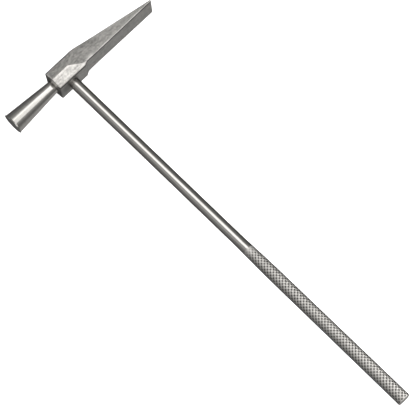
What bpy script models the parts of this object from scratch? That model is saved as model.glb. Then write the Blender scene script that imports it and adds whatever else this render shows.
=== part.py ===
"""All-metal reflex hammer: cross-peen head, turned striking face, round shaft and knurled grip.

Frame: +X from the striking face towards the peen, +Y from the grip towards the head, +Z up out of
the side that the hammer lies on. The origin is the centre of the grip's flat end.
"""
import math

import bmesh
import bpy

MM = 0.001
GAP = 0.3 * MM                   # room left between two pieces that touch on the real hammer

# Handle, measured from the grip's end along +Y
HEAD_Y = 206.5 * MM              # where the head's axis crosses the handle's
GRIP_NOSE_Y = 97.0 * MM          # front end of the grip, flush with the shaft
GRIP_FULL_Y = 75.0 * MM          # the nose's taper ends here
GRIP_END_R = 3.18 * MM
GRIP_FULL_R = 3.06 * MM
GRIP_EDGE = 0.35 * MM
SHAFT_HEAD_R = 2.58 * MM
SHAFT_GRIP_R = 2.65 * MM

# Head, measured from its own axis: x along it, y across it, z to the sides
BODY_FRONT_X = -7.5 * MM
BODY_REAR_X = 7.8 * MM
BODY_HALF_Y = 5.0 * MM
FLAT_HALF_Z = 6.3 * MM           # half width of the flats above and below
RIDGE_HALF_Z = 8.3 * MM          # half width over the two side ridges
END_CHAMFER = 0.25 * MM
PEEN_X = 49.2 * MM
PEEN_TOP_Y = -2.9 * MM
PEEN_BOTTOM_Y = -3.8 * MM
PEEN_HALF_Z = 6.75 * MM          # half width of the peen's underside at its edge
BREAK_X = 18.0 * MM              # the wedge's upper slope grows steeper here
BREAK_TOP_Y = 3.72 * MM
ROOT_BOTTOM_X = 9.4 * MM         # the body's rear slope ends here, on the wedge's underside
ROOT_BOTTOM_Y = -3.9 * MM
WAIST_START_X = 1.7 * MM         # the waist's flat faces leave the ridges here
SHOULDER_X = 8.2 * MM
SHOULDER_HALF_Z = 6.72 * MM
ROOT_X = 12.5 * MM               # the wedge's underside is narrowest here
ROOT_HALF_Z = 6.2 * MM
CHEEK_LEAN = 0.32                # how much nearer the wedge's two cheeks come for each step up
HEAD_EDGE = 0.22 * MM

# Striking face, a truncated cone on a short stud
FACE_X = -32.4 * MM
FACE_R = 5.2 * MM
FACE_RIM = 0.8 * MM              # the flare at its rim, along X
FACE_LIP = 0.3 * MM              # how far the rim stands out past the cone
FACE_EDGE = 0.3 * MM             # its broken edge, along X
FACE_FLAT_R = 5.0 * MM
NECK_R = 3.0 * MM
STUD_R = 1.5 * MM
STUD_END_X = -3.2 * MM

# Joints inside the hammer
TENON_R = 1.8 * MM               # front end of the shaft, inside the head
TENON_TOP_Y = 1.2 * MM
SPIGOT_R = 1.5 * MM              # rear end of the shaft, inside the grip
SPIGOT_LENGTH = 34.0 * MM
SCREW_HEAD_R = 1.9 * MM
SCREW_SHANK_R = 0.9 * MM
SCREW_HEAD_DEPTH = 1.2 * MM
SCREW_SUNK = 0.1 * MM
SCREW_TIP_Y = -2.6 * MM
SCREW_SLOT = 0.5 * MM
GRUB_R = 0.9 * MM
GRUB_Y = 70.0 * MM
GRUB_TIP_Z = -0.9 * MM
GRUB_FACE_Z = -2.5 * MM
GRUB_SOCKET_R = 0.45 * MM
GRUB_SOCKET_DEPTH = 0.8 * MM

ROUND_STEPS = 48
SMALL_STEPS = 20
MERGE = 0.00001

ALONG_X = (0.0, math.pi / 2, 0.0)    # a turned piece's own +Z comes to lie along +X
ALONG_Y = (-math.pi / 2, 0.0, 0.0)   # and here along +Y


def clear_scene():
    for old in list(bpy.data.objects):
        bpy.data.objects.remove(old, do_unlink=True)


def new_collection(name):
    collection = bpy.data.collections.new(name)
    bpy.context.scene.collection.children.link(collection)
    return collection


def steel(name, value, roughness):
    material = bpy.data.materials.new(name)
    material.use_nodes = True
    shader = material.node_tree.nodes["Principled BSDF"]
    shader.inputs["Base Color"].default_value = (value, value, value * 0.98, 1.0)
    shader.inputs["Metallic"].default_value = 1.0
    shader.inputs["Roughness"].default_value = roughness
    return material


def place(name, mesh, collection, material=None, location=(0, 0, 0), rotation=(0, 0, 0)):
    obj = bpy.data.objects.new(name, mesh)
    collection.objects.link(obj)
    obj.location = location
    obj.rotation_euler = rotation
    if material:
        mesh.materials.append(material)
    if collection is CUTTERS:
        obj.hide_render = True
        obj.display_type = "WIRE"
    return obj


def turned(name, profile, collection, material=None, location=(0, 0, 0),
           rotation=(0, 0, 0), steps=ROUND_STEPS):
    """A profile of (radius, height) points, top to bottom, turned about its own Z."""
    mesh = bpy.data.meshes.new(name)
    points = [(radius, 0.0, height) for radius, height in profile]
    mesh.from_pydata(points, [(i, i + 1) for i in range(len(points) - 1)], [])
    obj = place(name, mesh, collection, material, location, rotation)
    screw = obj.modifiers.new("Turn", "SCREW")
    screw.axis = "Z"
    screw.angle = 2 * math.pi
    screw.steps = steps
    screw.render_steps = steps
    screw.use_merge_vertices = True
    screw.merge_threshold = MERGE
    screw.use_smooth_shade = True
    return obj


def prism(name, outline, half_depth, collection, location=(0, 0, 0), rotation=(0, 0, 0)):
    """A flat outline with the same depth on both sides of its plane, as one closed mesh."""
    curve = bpy.data.curves.new(name, "CURVE")
    curve.dimensions = "2D"
    curve.fill_mode = "BOTH"
    curve.extrude = half_depth
    spline = curve.splines.new("POLY")
    spline.points.add(len(outline) - 1)
    for point, (u, v) in zip(spline.points, outline):
        point.co = (u, v, 0.0, 1.0)
    spline.use_cyclic_u = True
    source = bpy.data.objects.new(name + "_outline", curve)
    collection.objects.link(source)
    bpy.context.view_layer.update()
    evaluated = source.evaluated_get(bpy.context.evaluated_depsgraph_get())
    mesh = bpy.data.meshes.new_from_object(evaluated)
    bpy.data.objects.remove(source, do_unlink=True)
    bm = bmesh.new()
    bm.from_mesh(mesh)
    bmesh.ops.remove_doubles(bm, verts=bm.verts, dist=MERGE)
    bmesh.ops.dissolve_limit(bm, angle_limit=0.001, verts=bm.verts, edges=bm.edges)
    bmesh.ops.recalc_face_normals(bm, faces=bm.faces)
    bm.to_mesh(mesh)
    bm.free()
    return place(name, mesh, collection, None, location, rotation)


def boolean(obj, cutter, operation):
    step = obj.modifiers.new(cutter.name, "BOOLEAN")
    step.operation = operation
    step.solver = "EXACT"
    step.object = cutter
    return step


def chamfer_front(obj):
    """Chamfers the edges round the prism's front end, which is its own -Z end."""
    bm = bmesh.new()
    bm.from_mesh(obj.data)
    low = min(v.co.z for v in bm.verts)
    edges = [e for e in bm.edges if all(abs(v.co.z - low) < MERGE for v in e.verts)]
    bmesh.ops.bevel(bm, geom=edges, offset=END_CHAMFER, segments=1, affect="EDGES")
    bm.to_mesh(obj.data)
    bm.free()


def cheek_cutter(name, sign):
    """Takes what lies outside both the waist's flat face and the wedge's leaning cheek."""
    waist = (SHOULDER_HALF_Z - RIDGE_HALF_Z) / (SHOULDER_X - WAIST_START_X)
    flare = (PEEN_HALF_Z - ROOT_HALF_Z) / (PEEN_X - ROOT_X)
    outside = 2 * RIDGE_HALF_Z
    front_x = WAIST_START_X + (outside - RIDGE_HALF_Z) / waist
    rear_x = PEEN_X + BODY_HALF_Y
    points = []
    for y in (-2 * BODY_HALF_Y, 2 * BODY_HALF_Y):
        at_root = ROOT_HALF_Z - CHEEK_LEAN * (y - ROOT_BOTTOM_Y)
        cheek_at_waist = at_root + flare * (WAIST_START_X - ROOT_X)
        valley_x = WAIST_START_X + (cheek_at_waist - RIDGE_HALF_Z) / (waist - flare)
        valley_z = RIDGE_HALF_Z + waist * (valley_x - WAIST_START_X)
        points += [
            (front_x, y, sign * outside),
            (valley_x, y, sign * valley_z),
            (rear_x, y, sign * (at_root + flare * (rear_x - ROOT_X))),
            (rear_x, y, sign * outside),
        ]
    faces = [(0, 1, 2, 3), (7, 6, 5, 4)]
    faces += [(i, i + 4, (i + 1) % 4 + 4, (i + 1) % 4) for i in range(4)]
    mesh = bpy.data.meshes.new(name)
    mesh.from_pydata(points, [], faces)
    bm = bmesh.new()
    bm.from_mesh(mesh)
    bmesh.ops.recalc_face_normals(bm, faces=bm.faces)
    bm.to_mesh(mesh)
    bm.free()
    return place(name, mesh, CUTTERS, None, (0, HEAD_Y, 0))


def head_body():
    """The body and its wedge: a side outline inside a hexagon, with the two cheeks cut away."""
    side = [(BODY_FRONT_X, BODY_HALF_Y), (BODY_REAR_X, BODY_HALF_Y), (BREAK_X, BREAK_TOP_Y),
            (PEEN_X, PEEN_TOP_Y), (PEEN_X, PEEN_BOTTOM_Y), (ROOT_BOTTOM_X, ROOT_BOTTOM_Y),
            (BODY_REAR_X, -BODY_HALF_Y), (BODY_FRONT_X, -BODY_HALF_Y)]
    head = prism("head_body", side, 2 * RIDGE_HALF_Z, PARTS, (0, HEAD_Y, 0))
    head.data.materials.append(SATIN)

    # In the hexagon's own axes u is across the head, -Z after the turn, and v is along +Y.
    hexagon = [(FLAT_HALF_Z, BODY_HALF_Y), (RIDGE_HALF_Z, 0), (FLAT_HALF_Z, -BODY_HALF_Y),
               (-FLAT_HALF_Z, -BODY_HALF_Y), (-RIDGE_HALF_Z, 0), (-FLAT_HALF_Z, BODY_HALF_Y)]
    half_length = (PEEN_X + BODY_HALF_Y - BODY_FRONT_X) / 2
    hexagon_cutter = prism("cut_hexagon", hexagon, half_length, CUTTERS,
                           (BODY_FRONT_X + half_length, HEAD_Y, 0), ALONG_X)
    chamfer_front(hexagon_cutter)

    boolean(head, hexagon_cutter, "INTERSECT")
    boolean(head, cheek_cutter("cut_upper_cheek", 1), "DIFFERENCE")
    boolean(head, cheek_cutter("cut_lower_cheek", -1), "DIFFERENCE")
    edge = head.modifiers.new("Edges", "BEVEL")
    edge.width = HEAD_EDGE
    edge.segments = 2
    edge.limit_method = "ANGLE"
    edge.angle_limit = math.radians(8)

    stud_bore = turned("cut_stud_bore", rod(STUD_R + GAP, STUD_END_X + GAP, 2 * BODY_FRONT_X),
                       CUTTERS, None, (0, HEAD_Y, 0), ALONG_X, SMALL_STEPS)
    boolean(head, stud_bore, "DIFFERENCE")
    top = TENON_TOP_Y + GAP
    neck = BODY_HALF_Y - SCREW_HEAD_DEPTH
    handle_bore = turned("cut_handle_bore", [
        (0, BODY_HALF_Y + GAP),
        (SCREW_HEAD_R + 2 * GAP, BODY_HALF_Y + GAP),
        (SCREW_SHANK_R + GAP, neck - GAP),
        (SCREW_SHANK_R + GAP, top),
        (TENON_R + GAP, top),
        (TENON_R + GAP, -2 * BODY_HALF_Y),
        (0, -2 * BODY_HALF_Y),
    ], CUTTERS, None, (0, HEAD_Y, 0), ALONG_Y, SMALL_STEPS)
    boolean(head, handle_bore, "DIFFERENCE")
    return head


def rod(radius, top, bottom):
    return [(0, top), (radius, top), (radius, bottom), (0, bottom)]


def striking_face():
    """A turned cone, widest at its flat face, on the stud that screws into the head."""
    neck_x = BODY_FRONT_X - GAP
    profile = [
        (0, STUD_END_X),
        (STUD_R, STUD_END_X),
        (STUD_R, neck_x),
        (NECK_R, neck_x),
        (FACE_R - FACE_LIP, FACE_X + FACE_RIM),
        (FACE_R, FACE_X + FACE_EDGE),
        (FACE_FLAT_R, FACE_X),
        (0, FACE_X),
    ]
    return turned("striking_face", profile, PARTS, POLISHED, (0, HEAD_Y, 0), ALONG_X)


def shaft():
    """One bar: tenon with its tapped hole in front, spigot behind."""
    tenon_top = HEAD_Y + TENON_TOP_Y
    shoulder = HEAD_Y - BODY_HALF_Y - GAP
    hole_end = HEAD_Y + SCREW_TIP_Y - GAP
    seam = GRIP_NOSE_Y + GAP
    profile = [
        (0, hole_end),
        (SCREW_SHANK_R + GAP, hole_end),
        (SCREW_SHANK_R + GAP, tenon_top),
        (TENON_R, tenon_top),
        (TENON_R, shoulder),
        (SHAFT_HEAD_R, shoulder),
        (SHAFT_GRIP_R, seam),
        (SPIGOT_R, seam),
        (SPIGOT_R, GRIP_NOSE_Y - SPIGOT_LENGTH),
        (0, GRIP_NOSE_Y - SPIGOT_LENGTH),
    ]
    bar = turned("shaft", profile, PARTS, POLISHED, (0, 0, 0), ALONG_Y)
    seat = turned("cut_shaft_seat", rod(GRUB_R + GAP, GRUB_TIP_Z + GAP, 2 * GRUB_FACE_Z),
                  CUTTERS, None, (0, GRUB_Y, 0), (0, 0, 0), SMALL_STEPS)
    boolean(bar, seat, "DIFFERENCE")
    return bar


def knurled_grip():
    """The sleeve that the hand holds, without its knurl: long nose, then a slight taper."""
    bore_end = GRIP_NOSE_Y - SPIGOT_LENGTH - GAP
    nose = [nose_point(i / 6) for i in range(7)]
    profile = [(0, bore_end), (SPIGOT_R + GAP, bore_end), (SPIGOT_R + GAP, GRIP_NOSE_Y)]
    profile += nose
    profile += [(GRIP_END_R, GRIP_EDGE), (GRIP_END_R - GRIP_EDGE, 0), (0, 0)]
    grip = turned("knurled_grip", profile, PARTS, KNURLED, (0, 0, 0), ALONG_Y)
    hole = turned("cut_grub_hole", rod(GRUB_R + GAP, 0, 2 * GRUB_FACE_Z), CUTTERS, None,
                  (0, GRUB_Y, 0), (0, 0, 0), SMALL_STEPS)
    boolean(grip, hole, "DIFFERENCE")
    return grip


def nose_point(share):
    """A point of the grip's nose, from the shaft's radius to the grip's, with a soft end."""
    ease = math.sin(share * math.pi / 2)
    radius = SHAFT_GRIP_R + (GRIP_FULL_R - SHAFT_GRIP_R) * ease
    return radius, GRIP_NOSE_Y + (GRIP_FULL_Y - GRIP_NOSE_Y) * share


def head_screw():
    """Slotted countersunk screw that pulls the tenon up into the head."""
    top = BODY_HALF_Y - SCREW_SUNK
    profile = [
        (0, top),
        (SCREW_HEAD_R, top),
        (SCREW_SHANK_R, top - SCREW_HEAD_DEPTH),
        (SCREW_SHANK_R, SCREW_TIP_Y),
        (0, SCREW_TIP_Y),
    ]
    screw = turned("head_screw", profile, PARTS, POLISHED, (0, HEAD_Y, 0), ALONG_Y, SMALL_STEPS)
    outline = [(-SCREW_SLOT / 2, -SCREW_SLOT), (SCREW_SLOT / 2, -SCREW_SLOT),
               (SCREW_SLOT / 2, SCREW_SLOT), (-SCREW_SLOT / 2, SCREW_SLOT)]
    slot = prism("cut_slot", outline, 2 * SCREW_HEAD_R, CUTTERS, (0, HEAD_Y + top, 0))
    boolean(screw, slot, "DIFFERENCE")
    return screw


def grip_grub_screw():
    """Headless screw with a hexagon socket, which holds the spigot in the grip."""
    screw = turned("grip_grub_screw", rod(GRUB_R, GRUB_TIP_Z, GRUB_FACE_Z), PARTS, POLISHED,
                   (0, GRUB_Y, 0), (0, 0, 0), SMALL_STEPS)
    socket = turned("cut_socket", rod(GRUB_SOCKET_R, GRUB_FACE_Z + GRUB_SOCKET_DEPTH, 2 * GRUB_FACE_Z),
                    CUTTERS, None, (0, GRUB_Y, 0), (0, 0, 0), 6)
    boolean(screw, socket, "DIFFERENCE")
    return screw


clear_scene()
PARTS = new_collection("reflex_hammer")
CUTTERS = new_collection("cutters")
SATIN = steel("satin_steel", 0.55, 0.38)
POLISHED = steel("polished_steel", 0.60, 0.20)
KNURLED = steel("knurled_steel", 0.58, 0.30)

head_body()
striking_face()
shaft()
knurled_grip()
head_screw()
grip_grub_screw()
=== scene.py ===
import math

import bmesh
import bpy
from mathutils import Matrix, Vector


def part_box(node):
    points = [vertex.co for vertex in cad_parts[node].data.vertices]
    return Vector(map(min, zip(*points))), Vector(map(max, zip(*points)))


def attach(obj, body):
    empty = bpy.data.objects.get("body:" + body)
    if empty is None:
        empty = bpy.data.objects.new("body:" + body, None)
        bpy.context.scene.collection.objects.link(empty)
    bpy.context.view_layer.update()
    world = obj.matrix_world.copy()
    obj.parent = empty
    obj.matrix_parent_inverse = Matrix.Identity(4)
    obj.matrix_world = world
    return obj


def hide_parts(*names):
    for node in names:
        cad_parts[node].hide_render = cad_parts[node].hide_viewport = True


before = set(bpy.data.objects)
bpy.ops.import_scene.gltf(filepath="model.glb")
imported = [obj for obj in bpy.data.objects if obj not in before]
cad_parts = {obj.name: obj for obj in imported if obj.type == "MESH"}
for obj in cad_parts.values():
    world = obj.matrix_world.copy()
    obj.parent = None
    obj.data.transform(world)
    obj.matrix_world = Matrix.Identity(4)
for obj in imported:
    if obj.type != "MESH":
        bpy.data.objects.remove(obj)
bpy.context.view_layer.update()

MM = 0.001
TAU = 2 * math.pi


# ---------------------------------------------------------------- where the CAD puts things

GRIP_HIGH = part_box("knurled_grip")[1]
SHAFT_LOW, SHAFT_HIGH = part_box("shaft")
FACE_LOW, FACE_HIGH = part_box("striking_face")
HEAD_LOW, HEAD_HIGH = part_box("head_body")
GRUB_LOW, GRUB_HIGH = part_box("grip_grub_screw")

HEAD_Y = (FACE_LOW.y + FACE_HIGH.y) / 2      # the head's axis
BODY_HALF_Y = HEAD_HIGH.y - HEAD_Y
GRIP_NOSE_Y = GRIP_HIGH.y
GRIP_FULL_Y = 75.0 * MM                      # from here the grip narrows down to the shaft
GRIP_FULL_R = 3.06 * MM
GRIP_END_R = GRIP_HIGH.z
SHAFT_GRIP_R = SHAFT_HIGH.z
SHAFT_HEAD_R = 2.58 * MM
SEAM = 0.02 * MM                             # room between two pieces that touch

# What holds the pieces together, out of sight: the radius of each and of the bore it goes into
STUD_R, STUD_BORE_R = 1.5 * MM, 1.6 * MM
TENON_R, TENON_BORE_R = 1.8 * MM, 1.9 * MM
SPIGOT_R, SPIGOT_BORE_R = 1.5 * MM, 1.6 * MM
SCREW_BORE_R = 1.0 * MM
BORE_ROOM = 0.3 * MM                         # how far a bore goes on past what is in it
COUNTERSINK_Y = 3.6 * MM                     # where it starts, from the head's axis
COUNTERSINK_R = 2.1 * MM                     # at the head's top


# ---------------------------------------------------------------- camera, floor and light

CAMERA_TARGET = Vector((0.0026, 0.1202, 0.0))
CAMERA_AZIMUTH, CAMERA_ELEVATION, CAMERA_ROLL = -38.85, 73.31, -6.1
CAMERA_DISTANCE, CAMERA_LENS = 0.977, 195.5

# The room's brightness by height, from straight down (0) to straight up (1)
ROOM_BY_HEIGHT = [(0.0, 0.10), (0.25, 0.10), (0.45, 0.16), (0.55, 0.18), (0.68, 0.22), (0.80, 0.36),
                  (0.90, 0.45), (1.0, 0.50)]
ROOM_LEFT, ROOM_RIGHT = 1.3, 0.7             # its share of that on the -X and the +X side
TABLE_SIDE = (0.2, -0.6, -0.77)              # where the table is lit
TABLE_LIGHT = 0.33


def around(target, azimuth, elevation, distance):
    """A place seen from the target at that azimuth (0 is -Y, 90 is +X) and elevation."""
    a, e = math.radians(azimuth), math.radians(elevation)
    away = Vector((math.sin(a) * math.cos(e), -math.cos(a) * math.cos(e), math.sin(e)))
    return target + away * distance


def add_camera():
    data = bpy.data.cameras.new("camera")
    data.sensor_width = 36.0
    data.lens = CAMERA_LENS
    data.clip_start, data.clip_end = 0.05, 20.0
    camera = bpy.data.objects.new("camera", data)
    bpy.context.scene.collection.objects.link(camera)
    place = around(CAMERA_TARGET, CAMERA_AZIMUTH, CAMERA_ELEVATION, CAMERA_DISTANCE)
    turn = (CAMERA_TARGET - place).to_track_quat("-Z", "Y").to_matrix().to_4x4()
    roll = Matrix.Rotation(math.radians(CAMERA_ROLL), 4, "Z")
    camera.matrix_world = Matrix.Translation(place) @ turn @ roll
    bpy.context.scene.camera = camera


def add_floor():
    """A pale table; the steel mirrors the room's own lower half instead of it."""
    bpy.ops.mesh.primitive_plane_add(size=6.0, location=(0, HEAD_Y / 2, HEAD_LOW.z - 0.5 * MM))
    floor = bpy.context.object
    floor.name = "floor"
    material, tree, shader = shader_tree("pale_floor")
    shader.inputs["Base Color"].default_value = (0.86, 0.86, 0.86, 1)
    shader.inputs["Roughness"].default_value = 0.9
    shader.inputs["Specular IOR Level"].default_value = 0.0
    shader.inputs["Emission Color"].default_value = (1, 1, 1, 1)
    shader.inputs["Emission Strength"].default_value = 0.9
    floor.data.materials.append(material)
    floor.visible_glossy = False
    floor.visible_shadow = False


def softbox(name, direction, distance, width, length, radiance, target):
    """A rectangular light, as bright in a mirror as its radiance; its length lies along Y."""
    data = bpy.data.lights.new(name, "AREA")
    data.shape = "RECTANGLE"
    data.size = width
    data.size_y = length
    data.energy = radiance * math.pi * width * length
    light = bpy.data.objects.new(name, data)
    bpy.context.scene.collection.objects.link(light)
    back = Vector(direction).normalized()
    along_y = Vector((0, 1, 0))
    long_side = (along_y - back * along_y.dot(back)).normalized()
    turn = Matrix((long_side.cross(back), long_side, back)).transposed().to_4x4()
    light.matrix_world = Matrix.Translation(Vector(target) + back * distance) @ turn
    light.visible_camera = False


def add_world():
    """A plain room, brightest above, with the table's light low in it; it shows as plain white."""
    world = bpy.data.worlds.new("studio")
    bpy.context.scene.world = world
    world.use_nodes = True
    tree = world.node_tree
    tree.nodes.clear()
    direction = node(tree, "ShaderNodeTexCoord").outputs["Generated"]
    split = node(tree, "ShaderNodeSeparateXYZ")
    tree.links.new(direction, split.inputs[0])
    height = remap(tree, split.outputs["Z"], 0.0, 1.0, -1.0, 1.0)
    side = remap(tree, split.outputs["X"], ROOM_LEFT, ROOM_RIGHT, -1.0, 1.0)
    room = math_node(tree, "MULTIPLY", ramp(tree, height, ROOM_BY_HEIGHT), side)
    towards = node(tree, "ShaderNodeVectorMath", operation="DOT_PRODUCT")
    towards.inputs[1].default_value = TABLE_SIDE
    tree.links.new(direction, towards.inputs[0])
    table = remap(tree, towards.outputs["Value"], 0.0, TABLE_LIGHT, 0.50, 0.95)
    light = node(tree, "ShaderNodeBackground")
    tree.links.new(math_node(tree, "ADD", room, table), light.inputs["Strength"])
    light.inputs["Color"].default_value = (1, 1, 1, 1)
    white = node(tree, "ShaderNodeBackground")
    white.inputs["Color"].default_value = (1, 1, 1, 1)
    mix = node(tree, "ShaderNodeMixShader")
    tree.links.new(node(tree, "ShaderNodeLightPath").outputs["Is Camera Ray"], mix.inputs[0])
    tree.links.new(light.outputs[0], mix.inputs[1])
    tree.links.new(white.outputs[0], mix.inputs[2])
    tree.links.new(mix.outputs[0], node(tree, "ShaderNodeOutputWorld").inputs[0])


# ---------------------------------------------------------------- materials

# Painted shade: in the corner beside the shaft, around the cone's neck, and where the shaft goes in
CORNER_AT = (-3.0 * MM, HEAD_Y - 7.0 * MM, 1.0 * MM)
NECK_AT = (HEAD_LOW.x - 2.0 * MM, HEAD_Y, 0.0)
SHAFT_ROOT_AT = (2.0 * MM, HEAD_Y - 5.8 * MM, 2.0 * MM)
KNURL_SHOWS = 92.6 * MM          # where the cut metal ends and the polished nose starts


def shader_tree(name):
    material = bpy.data.materials.new(name)
    material.use_nodes = True
    tree = material.node_tree
    return material, tree, tree.nodes["Principled BSDF"]


def node(tree, kind, **values):
    made = tree.nodes.new(kind)
    for key, value in values.items():
        setattr(made, key, value)
    return made


def noise(tree, vector, scale, detail=3.0, rough=0.55):
    made = node(tree, "ShaderNodeTexNoise")
    made.inputs["Scale"].default_value = scale
    made.inputs["Detail"].default_value = detail
    made.inputs["Roughness"].default_value = rough
    tree.links.new(vector, made.inputs["Vector"])
    return made.outputs["Fac"]


def remap(tree, value, low, high, from_low=0.3, from_high=0.7):
    made = node(tree, "ShaderNodeMapRange")
    made.inputs["From Min"].default_value = from_low
    made.inputs["From Max"].default_value = from_high
    made.inputs["To Min"].default_value = low
    made.inputs["To Max"].default_value = high
    tree.links.new(value, made.inputs["Value"])
    return made.outputs[0]


def math_node(tree, operation, *values):
    made = node(tree, "ShaderNodeMath", operation=operation)
    for socket, value in zip(made.inputs, values):
        if isinstance(value, float):
            socket.default_value = value
        else:
            tree.links.new(value, socket)
    return made.outputs[0]


def ramp(tree, value, stops):
    """Greys along a value from 0 to 1; stops is (place, grey)."""
    made = node(tree, "ShaderNodeValToRGB")
    elements = made.color_ramp.elements
    while len(elements) < len(stops):
        elements.new(0.5)
    for element, (place, tone) in zip(elements, stops):
        element.position = place
        element.color = (tone, tone, tone, 1)
    tree.links.new(value, made.inputs[0])
    return made.outputs[0]


def blend(tree, value, one, two):
    """A colour between two; each is a colour socket or a (red, green, blue)."""
    made = node(tree, "ShaderNodeMix", data_type="RGBA")
    for socket, colour in ((made.inputs["A"], one), (made.inputs["B"], two)):
        if isinstance(colour, tuple):
            socket.default_value = (*colour, 1)
        else:
            tree.links.new(colour, socket)
    tree.links.new(value, made.inputs["Factor"])
    return made.outputs["Result"]


def object_place(tree):
    return node(tree, "ShaderNodeTexCoord").outputs["Object"]


def stretched(tree, scale):
    """Object coordinates, stretched along the axes whose scale is small."""
    made = node(tree, "ShaderNodeMapping")
    made.inputs["Scale"].default_value = scale
    tree.links.new(object_place(tree), made.inputs["Vector"])
    return made.outputs[0]


def attribute(tree, name):
    return node(tree, "ShaderNodeAttribute", attribute_name=name).outputs["Fac"]


# A mask for painted shade around a point
def painted_shade_near(tree, vector, centre, strength, near, far):
    """The strength up to the near distance from the centre, and 0 from the far distance on."""
    away = node(tree, "ShaderNodeVectorMath", operation="DISTANCE")
    away.inputs[1].default_value = centre
    tree.links.new(vector, away.inputs[0])
    return remap(tree, away.outputs["Value"], strength, 0.0, near, far)


def along_axis(tree, vector, axis):
    split = node(tree, "ShaderNodeSeparateXYZ")
    tree.links.new(vector, split.inputs[0])
    return split.outputs[axis]


def bump(tree, value, strength, distance, shader):
    made = node(tree, "ShaderNodeBump")
    made.inputs["Strength"].default_value = strength
    made.inputs["Distance"].default_value = distance
    tree.links.new(value, made.inputs["Height"])
    tree.links.new(made.outputs[0], shader.inputs["Normal"])


def steel_grey(value):
    """Steel's slightly warm grey, as a linear colour."""
    return value, value * 0.97, value * 0.92


def cast_steel():
    """Satin casting: fine grain, polishing strokes, ridges lightened for wear and a painted
    highlight, painted shade on the corners and near the shaft and the cone's neck.
    """
    material, tree, shader = shader_tree("satin_cast_steel")
    shader.inputs["Metallic"].default_value = 1.0
    plain = object_place(tree)
    blotch = noise(tree, plain, 190)
    grain = noise(tree, plain, 1250, rough=0.6)
    strokes = noise(tree, stretched(tree, (190, 1500, 1500)), 1.0)
    to_tip = remap(tree, along_axis(tree, plain, "X"), 1.0, 0.1, 28 * MM, 44 * MM)
    patchy = math_node(tree, "MULTIPLY", remap(tree, blotch, 0.1, 1.0, 0.35, 0.65), to_tip)
    edge = attribute(tree, "edge")
    # Ridges lightened, partly for wear and partly as a painted highlight line
    wear_and_painted_edge_tone = math_node(tree, "MULTIPLY", math_node(tree, "MAXIMUM", edge, 0.0), patchy)
    # Painted shade along the head's top and bottom corners, where the edge attribute is -1
    painted_edge_shade = math_node(tree, "MULTIPLY", math_node(tree, "MINIMUM", edge, 0.0), -1.0)
    mottle = math_node(tree, "ADD", math_node(tree, "MULTIPLY", blotch, 0.05),
                       math_node(tree, "ADD", math_node(tree, "MULTIPLY", grain, 0.55),
                                 math_node(tree, "MULTIPLY", strokes, 0.40)))
    base = blend(tree, remap(tree, mottle, 0, 1, 0.42, 0.58), steel_grey(0.29), steel_grey(0.56))
    base = blend(tree, wear_and_painted_edge_tone, base, steel_grey(0.62))
    base = blend(tree, painted_edge_shade, base, steel_grey(0.07))
    # Painted shade in the corner beside the shaft and around the cone's neck
    painted_shade = math_node(tree, "MAXIMUM",
                      painted_shade_near(tree, plain, CORNER_AT, 0.75, 3.0 * MM, 7.0 * MM),
                      painted_shade_near(tree, plain, NECK_AT, 0.75, 4.5 * MM, 9.0 * MM))
    tree.links.new(blend(tree, painted_shade, base, steel_grey(0.08)), shader.inputs["Base Color"])
    rough = remap(tree, grain, 0.32, 0.44)
    tree.links.new(math_node(tree, "SUBTRACT", rough, math_node(tree, "MULTIPLY", wear_and_painted_edge_tone, 0.08)),
                   shader.inputs["Roughness"])
    uneven = math_node(tree, "ADD", math_node(tree, "MULTIPLY", grain, 0.6),
                       math_node(tree, "MULTIPLY", strokes, 0.4))
    bump(tree, uneven, 0.25, 0.05 * MM, shader)
    return material


def turned_steel(name, along, roughness, tone):
    """Polished steel with faint marks that run round its axis, X or Y; painted shade and more
    roughness at the shaft's root.
    """
    material, tree, shader = shader_tree(name)
    shader.inputs["Metallic"].default_value = 1.0
    scale = {"X": (1500, 60, 60), "Y": (60, 1500, 60)}[along]
    marks = noise(tree, stretched(tree, scale), 1.0)
    plain = object_place(tree)
    blotch = noise(tree, plain, 120)
    mottle = math_node(tree, "ADD", math_node(tree, "MULTIPLY", blotch, 0.5),
                       math_node(tree, "MULTIPLY", marks, 0.5))
    # Painted shade on the shaft where it goes into the head
    painted_shade = painted_shade_near(tree, plain, SHAFT_ROOT_AT, 0.9, 1.6 * MM, 2.6 * MM)
    base = blend(tree, remap(tree, mottle, 0, 1), steel_grey(tone - 0.05), steel_grey(tone + 0.05))
    tree.links.new(blend(tree, painted_shade, base, steel_grey(0.06)), shader.inputs["Base Color"])
    rough = remap(tree, marks, roughness * 0.8, roughness * 1.25)
    tree.links.new(math_node(tree, "ADD", rough, math_node(tree, "MULTIPLY", painted_shade, 0.3)),
                   shader.inputs["Roughness"])
    return material


def knurled_steel():
    """Satin steel with pits darkened by painted shade and some grime, bright crests, and a polished
    nose.
    """
    material, tree, shader = shader_tree("knurled_steel")
    shader.inputs["Metallic"].default_value = 1.0
    plain = object_place(tree)
    grain = noise(tree, plain, 1500, rough=0.6)
    pit = attribute(tree, "pit")
    crest = blend(tree, remap(tree, grain, 0, 1), steel_grey(0.50), steel_grey(0.60))
    # Painted shade darkens the pits, with some grime
    depth = remap(tree, pit, 0, 1, 0.05, 0.45)
    knurled = blend(tree, depth, crest, steel_grey(0.08))
    nose = remap(tree, along_axis(tree, plain, "Y"), 0.0, 1.0, KNURL_SHOWS, KNURL_SHOWS + 1.0 * MM)
    tree.links.new(blend(tree, nose, knurled, steel_grey(0.55)), shader.inputs["Base Color"])
    cut = remap(tree, grain, 0.44, 0.54)
    smooth = math_node(tree, "MULTIPLY", nose, 0.36)
    tree.links.new(math_node(tree, "SUBTRACT", cut, smooth), shader.inputs["Roughness"])
    return material


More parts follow.
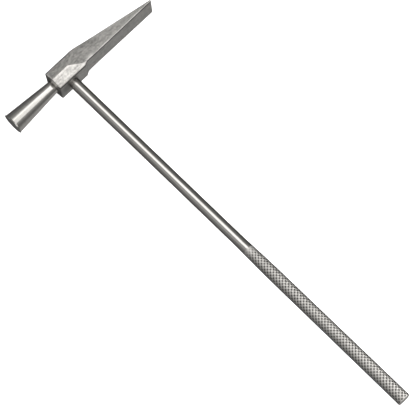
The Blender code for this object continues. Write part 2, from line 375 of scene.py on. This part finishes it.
def screw_steel():
    """Bright machined steel, a little darker in patches."""
    material, tree, shader = shader_tree("screw_steel")
    shader.inputs["Metallic"].default_value = 1.0
    plain = object_place(tree)
    blotch = noise(tree, plain, 900)
    tree.links.new(blend(tree, remap(tree, blotch, 0, 1), steel_grey(0.42), steel_grey(0.56)),
                   shader.inputs["Base Color"])
    tree.links.new(remap(tree, noise(tree, plain, 2500, 2), 0.22, 0.34), shader.inputs["Roughness"])
    return material


# ---------------------------------------------------------------- mesh helpers

def mesh_object(name, bm, material, sharp_angle):
    mesh = bpy.data.meshes.new(name)
    bm.to_mesh(mesh)
    bm.free()
    mesh.shade_smooth()
    mesh.set_sharp_from_angle(angle=math.radians(sharp_angle))
    obj = bpy.data.objects.new(name, mesh)
    bpy.context.scene.collection.objects.link(obj)
    if material:
        mesh.materials.append(material)
    return obj


def tube_of_rings(rings, layer=None):
    """A closed skin over rings of points; a ring may be a single point at either end.

    With a layer's name, each point's last value goes into that layer instead of the place.
    """
    bm = bmesh.new()
    values = bm.verts.layers.float.new(layer) if layer else None
    made = []
    for ring in rings:
        row = []
        for point in ring:
            vert = bm.verts.new(point[:3])
            if layer:
                vert[values] = point[3]
            row.append(vert)
        made.append(row)
    for one, two in zip(made, made[1:]):
        count = max(len(one), len(two))
        for i in range(count):
            j = (i + 1) % count
            if len(one) == 1:
                bm.faces.new((one[0], two[i], two[j]))
            elif len(two) == 1:
                bm.faces.new((one[i], two[0], one[j]))
            else:
                bm.faces.new((one[i], two[i], two[j], one[j]))
    bmesh.ops.recalc_face_normals(bm, faces=bm.faces)
    return bm


def lathe(name, profile, place, material=None, steps=128):
    """profile is (distance along the axis, radius), from one end to the other."""
    rings = []
    for along, radius in profile:
        count = steps if radius > 0 else 1
        rings.append([place(along, radius, TAU * i / count) for i in range(count)])
    return mesh_object(name, tube_of_rings(rings), material, 30)


def around_y(along, radius, angle):
    return radius * math.sin(angle), along, radius * math.cos(angle)


def around_head_axis(along, radius, angle):
    return along, HEAD_Y + radius * math.cos(angle), radius * math.sin(angle)


def around_screw_axis(along, radius, angle):
    return radius * math.sin(angle), HEAD_Y + along, radius * math.cos(angle)


def around_grub_axis(along, radius, angle):
    middle = (GRUB_LOW.y + GRUB_HIGH.y) / 2
    return radius * math.sin(angle), middle + radius * math.cos(angle), along


def drilled(obj, cutters):
    """The object with every cutter taken out of it."""
    for cutter in cutters:
        step = obj.modifiers.new(cutter.name, "BOOLEAN")
        step.operation = "DIFFERENCE"
        step.solver = "EXACT"
        step.object = cutter
    bpy.context.view_layer.update()
    evaluated = obj.evaluated_get(bpy.context.evaluated_depsgraph_get())
    obj.data = bpy.data.meshes.new_from_object(evaluated)
    obj.modifiers.clear()
    for cutter in cutters:
        bpy.data.objects.remove(cutter, do_unlink=True)
    return obj


def rounded(corner_from, corner, corner_to, radius, count=4):
    """Points that round a corner of a profile; the radius is less where a side is short."""
    a, b, c = Vector(corner_from), Vector(corner), Vector(corner_to)
    start = b + (a - b).normalized() * min(radius, 0.45 * (a - b).length)
    end = b + (c - b).normalized() * min(radius, 0.45 * (c - b).length)
    steps = (i / count for i in range(count + 1))
    return [tuple(start.lerp(b, t).lerp(b.lerp(end, t), t)) for t in steps]


# ---------------------------------------------------------------- shaft and striking face

def shaft_piece(material):
    shoulder = HEAD_Y - BODY_HALF_Y - SEAM
    seam = GRIP_NOSE_Y + SEAM
    count = 8
    profile = [(SHAFT_LOW.y, 0), (SHAFT_LOW.y, SPIGOT_R), (seam, SPIGOT_R), (seam, SHAFT_GRIP_R)]
    for i in range(1, count + 1):
        radius = SHAFT_GRIP_R + (SHAFT_HEAD_R - SHAFT_GRIP_R) * i / count
        profile.append((seam + (shoulder - seam) * i / count, radius))
    profile += [(shoulder, TENON_R), (SHAFT_HIGH.y, TENON_R), (SHAFT_HIGH.y, 0)]
    shaft = lathe("shaft_bar", profile, around_y, material)
    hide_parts("shaft")
    return shaft


def face_piece(material):
    end = FACE_LOW.x
    neck_x = HEAD_LOW.x - SEAM
    face = FACE_HIGH.z
    neck_r, soft = 3.0 * MM, 0.05 * MM
    at_face = (end, face - 0.2 * MM)
    at_rim = (end + 0.3 * MM, face)
    at_cone = (end + 0.5 * MM, face - 0.3 * MM)
    at_neck = (neck_x, neck_r)
    profile = [(end, 0)]
    profile += rounded((end, 0), at_face, at_rim, soft)
    profile += rounded(at_face, at_rim, at_cone, soft)
    profile += rounded(at_rim, at_cone, at_neck, soft)
    profile += [at_neck, (neck_x, STUD_R), (FACE_HIGH.x, STUD_R), (FACE_HIGH.x, 0)]
    cone = lathe("face_cone", profile, around_head_axis, material)
    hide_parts("striking_face")
    return cone


# ---------------------------------------------------------------- head casting

BODY_FRONT_X = HEAD_LOW.x
PEEN_X = HEAD_HIGH.x
RIDGE_HALF_Z = HEAD_HIGH.z
HEXAGON_SLOPE = 0.4              # how fast the facets beside a ridge fall away from it
RIDGE_DROP = 1.08                # how much lower the ridge is, for each unit of inset
RIDGE_FLAT = 0.05 * MM
EDGE_BREAK = 0.25 * MM
END_CHAMFER = 0.25 * MM
WAIST = (0.0, 13 * MM)           # along x; sections are closer together here

# The head's outlines in mm, as (x, z) seen from above, low and high on its cheeks, and as
# (x, y from its axis) for its top and its underside. They go on past both ends.
SIDES_LOW = [(-20, 13.57), (8.2, 6.72), (12.5, 6.2), (60, 7.05)]
SIDES_HIGH = [(-20, 13.57), (8.2, 6.72), (18, 4.35), (49.2, 6.5), (60, 7.24)]
TOP = [(-20, 5.0), (7.8, 5.0), (18, 3.72), (49.2, -2.9), (60, -5.19)]
UNDERSIDE = [(-20, -5.0), (7.8, -5.0), (9.4, -3.9), (60, -3.75)]


def softened(outline, x, reach):
    """The outline's height at x, with its corners smoothed over a reach along x."""
    steps = 12
    total = 0.0
    for i in range(steps + 1):
        at = x / MM + reach * (i / steps - 0.5)
        for (x0, h0), (x1, h1) in zip(outline, outline[1:]):
            if x0 <= at <= x1:
                total += h0 + (h1 - h0) * (at - x0) / (x1 - x0)
                break
    return total / (steps + 1) * MM


def head_ring(x, inset):
    """One section of the head; each point is x, y, z and its edge: 1 lightened for wear and a
    painted highlight, -1 painted shade.
    """
    top = softened(TOP, x, 0.8) - inset
    bottom = softened(UNDERSIDE, x, 0.7) + inset
    low = softened(SIDES_LOW, x, 5.0) - inset
    lean = (softened(SIDES_HIGH, x, 5.0) - inset - low) / (top - bottom)
    ridge = RIDGE_HALF_Z - RIDGE_DROP * inset
    rim = min(EDGE_BREAK, 0.3 * (top - bottom))

    def side(y):
        return low + lean * (y - bottom)

    def facet(y):
        return min(side(y), ridge - HEXAGON_SLOPE * abs(y))

    above = ridge - side(0)
    upper = min(max(above / (HEXAGON_SLOPE + lean), RIDGE_FLAT), top - rim)
    lower = max(min(-above / (HEXAGON_SLOPE - lean), -RIDGE_FLAT), bottom + rim)
    # The last value marks the edge: 1 lightened for wear and a painted highlight line, -1 painted
    # shade
    corners = [
        (top, min(facet(top), side(top) - rim), 0.45 * MM, -1.0),
        (upper, facet(upper), 0.25 * MM, 1.0),
        (lower, facet(lower), 0.35 * MM, 1.0),
        (bottom, min(facet(bottom), side(bottom) - rim), 0.20 * MM, -1.0),
    ]
    corners += [(y, -z, radius, wear_and_painted_edge_tone) for y, z, radius, wear_and_painted_edge_tone in reversed(corners)]
    count = len(corners)
    arcs = []
    for i, (y, z, radius, _) in enumerate(corners):
        arcs.append(rounded(corners[i - 1][:2], (y, z), corners[(i + 1) % count][:2], radius))
    ring = []
    for i, arc in enumerate(arcs):
        ring += [(x, HEAD_Y + p, q, corners[i][3]) for p, q in arc]
        start, end = Vector(arc[-1]), Vector(arcs[(i + 1) % count][0])
        for part in (0.1, 0.5, 0.9):
            p, q = start.lerp(end, part)
            ring.append((x, HEAD_Y + p, q, 0.0))
    return ring


def head_stations():
    """The head's sections from the block's front to the tip, as (x, inset)."""
    front = BODY_FRONT_X
    shoulder = (front + END_CHAMFER, 0.0)
    stations = rounded((front, 2 * END_CHAMFER), (front, END_CHAMFER), shoulder, 0.2 * MM, 3)
    stations += rounded((front, END_CHAMFER), shoulder, (0.0, 0.0), 0.3 * MM, 3)
    x = front + END_CHAMFER + 0.5 * MM
    while x < PEEN_X - 1.0 * MM:
        stations.append((x, 0.0))
        x += (0.3 if WAIST[0] < x < WAIST[1] else 1.5) * MM
    tip = (PEEN_X, 0.0)
    return stations + rounded((PEEN_X - 0.9 * MM, 0.0), tip, (PEEN_X, 0.3 * MM), 0.4 * MM, 3)


def middle_of(ring):
    """A ring of one point, in the middle of a section."""
    across = [y for _, y, _, _ in ring]
    return [(ring[0][0], (max(across) + min(across)) / 2, 0.0, 0.0)]


def head_piece(material):
    rings = [head_ring(x, inset) for x, inset in head_stations()]
    rings = [middle_of(rings[0]), *rings, middle_of(rings[-1])]
    head = mesh_object("head_casting", tube_of_rings(rings, "edge"), material, 40)

    outside, stud_end = 2 * BODY_FRONT_X, FACE_HIGH.x + BORE_ROOM
    stud_bore = lathe("stud_bore", [
        (outside, 0),
        (outside, STUD_BORE_R),
        (stud_end, STUD_BORE_R),
        (stud_end, 0),
    ], around_head_axis, steps=48)
    below, above = -2 * BODY_HALF_Y, BODY_HALF_Y + 0.1 * MM
    tenon_end = SHAFT_HIGH.y - HEAD_Y + BORE_ROOM
    handle_bore = lathe("handle_bore", [
        (below, 0),
        (below, TENON_BORE_R),
        (tenon_end, TENON_BORE_R),
        (tenon_end, SCREW_BORE_R),
        (COUNTERSINK_Y, SCREW_BORE_R),
        (above, COUNTERSINK_R),
        (above, 0),
    ], around_screw_axis, steps=48)
    drilled(head, [stud_bore, handle_bore])
    head.modifiers.new("even_shading", "WEIGHTED_NORMAL").keep_sharp = True
    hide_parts("head_body")
    return head


# ---------------------------------------------------------------- knurled grip

KNURL_STARTS = 10
KNURL_PITCH = 1.81 * MM          # one repeat along the grip
KNURL_DEPTH = 0.24 * MM
KNURL_PIT_R = 0.56 * MM
KNURL_STEPS = 8                  # mesh steps to one repeat of the knurl
KNURL_GROOVE = 0.25              # half width of a groove, in repeats
KNURL_GROOVE_SHARE = 0.25        # its depth, as a share of a pit's
KNURL_BEGINS = 95.5 * MM         # no cut beyond here
KNURL_DEEP = 87.0 * MM           # full depth up to here
GRIP_EDGE = 0.35 * MM


def grip_radius(y):
    if y > GRIP_FULL_Y:
        share = (GRIP_NOSE_Y - y) / (GRIP_NOSE_Y - GRIP_FULL_Y)
        return SHAFT_GRIP_R + (GRIP_FULL_R - SHAFT_GRIP_R) * math.sin(share * math.pi / 2)
    return GRIP_END_R + (GRIP_FULL_R - GRIP_END_R) * y / GRIP_FULL_Y


def smooth_step(low, high, value):
    t = min(1.0, max(0.0, (value - low) / (high - low)))
    return t * t * (3 - 2 * t)


def from_groove(at):
    """How far a place is from the nearest groove of one hand, from -0.5 to 0.5 of a repeat."""
    return (at + 0.5) % 1.0 - 0.5


def knurl_depth(one, two, radius):
    """1 at the bottom of a pit, where two grooves cross, and 0 on the crests between grooves."""
    along = (one + two) / 2 * KNURL_PITCH
    across = (one - two) / 2 * TAU * radius / KNURL_STARTS
    pit = max(0.0, 1 - math.hypot(along, across) / KNURL_PIT_R)
    groove = max(0.0, 1 - min(abs(one), abs(two)) / KNURL_GROOVE)
    return max(pit, KNURL_GROOVE_SHARE * groove)


def grip_piece(material):
    steps = KNURL_STARTS * KNURL_STEPS
    count = round(GRIP_NOSE_Y / (KNURL_PITCH / KNURL_STEPS))
    bore_end = SHAFT_LOW.y - BORE_ROOM
    rings = [[(0.0, 0.0, 0.0, 0.0)]]
    for i in range(count + 1):
        y = i * GRIP_NOSE_Y / count
        cut = 1 - smooth_step(KNURL_DEEP, KNURL_BEGINS, y)
        cut *= smooth_step(0, 1.0 * MM, y)
        edge = max(0.0, GRIP_EDGE - y)
        ring = []
        for j in range(steps):
            one = from_groove((i + j) / KNURL_STEPS)
            two = from_groove((i - j) / KNURL_STEPS)
            pit = cut * knurl_depth(one, two, GRIP_FULL_R)
            radius = grip_radius(y) - edge - KNURL_DEPTH * pit
            ring.append((*around_y(y, radius, TAU * j / steps), pit))
        rings.append(ring)
    for y in (GRIP_NOSE_Y, bore_end):
        rings.append([(*around_y(y, SPIGOT_BORE_R, TAU * j / steps), 0.0) for j in range(steps)])
    rings.append([(0.0, bore_end, 0.0, 0.0)])
    grip = mesh_object("grip_sleeve", tube_of_rings(rings, "pit"), material, 60)
    outside = -5 * MM
    screw_hole = lathe("screw_hole", [
        (0.0, 0),
        (0.0, SCREW_BORE_R),
        (outside, SCREW_BORE_R),
        (outside, 0),
    ], around_grub_axis, steps=32)
    drilled(grip, [screw_hole])
    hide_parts("knurled_grip")
    return grip


# ---------------------------------------------------------------- the scene

AT_HEAD = (0, HEAD_Y, 0)
AT_GRIP = (0, 0.05, 0)

bpy.context.scene.view_settings.view_transform = "Standard"
add_camera()
add_floor()
add_world()
# Each light's direction, distance, width, length and radiance
# The streaks on the shaft, the cone and the grip
softbox("key_box", (0.045, -0.03, 1.0), 2.0, 1.20, 2.9, 1.45, AT_HEAD)
# The head's lower and upper facet
softbox("near_box", (-0.15, -0.64, 0.76), 1.5, 1.05, 0.53, 1.9, AT_HEAD)
softbox("far_box", (-0.25, 0.82, 0.52), 1.5, 1.1, 0.5, 2.2, AT_HEAD)
# The right-hand half of the cone's streak
softbox("cone_box", (0.44, -0.20, 1.0), 2.3, 0.40, 2.0, 0.85, AT_HEAD)
softbox("cone_end", (0.385, 0.31, 1.0), 2.3, 0.16, 0.85, 1.15, AT_HEAD)
# The two sides of the shaft and the grip
softbox("grip_side", (0.95, -0.35, 0.65), 0.8, 0.50, 0.50, 4.8, AT_GRIP)
softbox("left_box", (-0.75, -0.50, 0.45), 0.8, 0.60, 0.50, 1.2, AT_GRIP)

CAST = cast_steel()
POLISHED = turned_steel("polished_bar_steel", "Y", 0.13, 0.55)
CONE = turned_steel("turned_face_steel", "X", 0.13, 0.58)
KNURLED = knurled_steel()
SCREW = screw_steel()

for name in ("head_screw", "grip_grub_screw"):
    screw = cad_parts[name]
    screw.data.materials.clear()
    screw.data.materials.append(SCREW)

PIECES = (
    (shaft_piece(POLISHED), "polished_steel"),
    (face_piece(CONE), "polished_steel"),
    (grip_piece(KNURLED), "knurled_steel"),
    (head_piece(CAST), "satin_steel"),
)
for piece, slot in PIECES:
    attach(piece, "root")
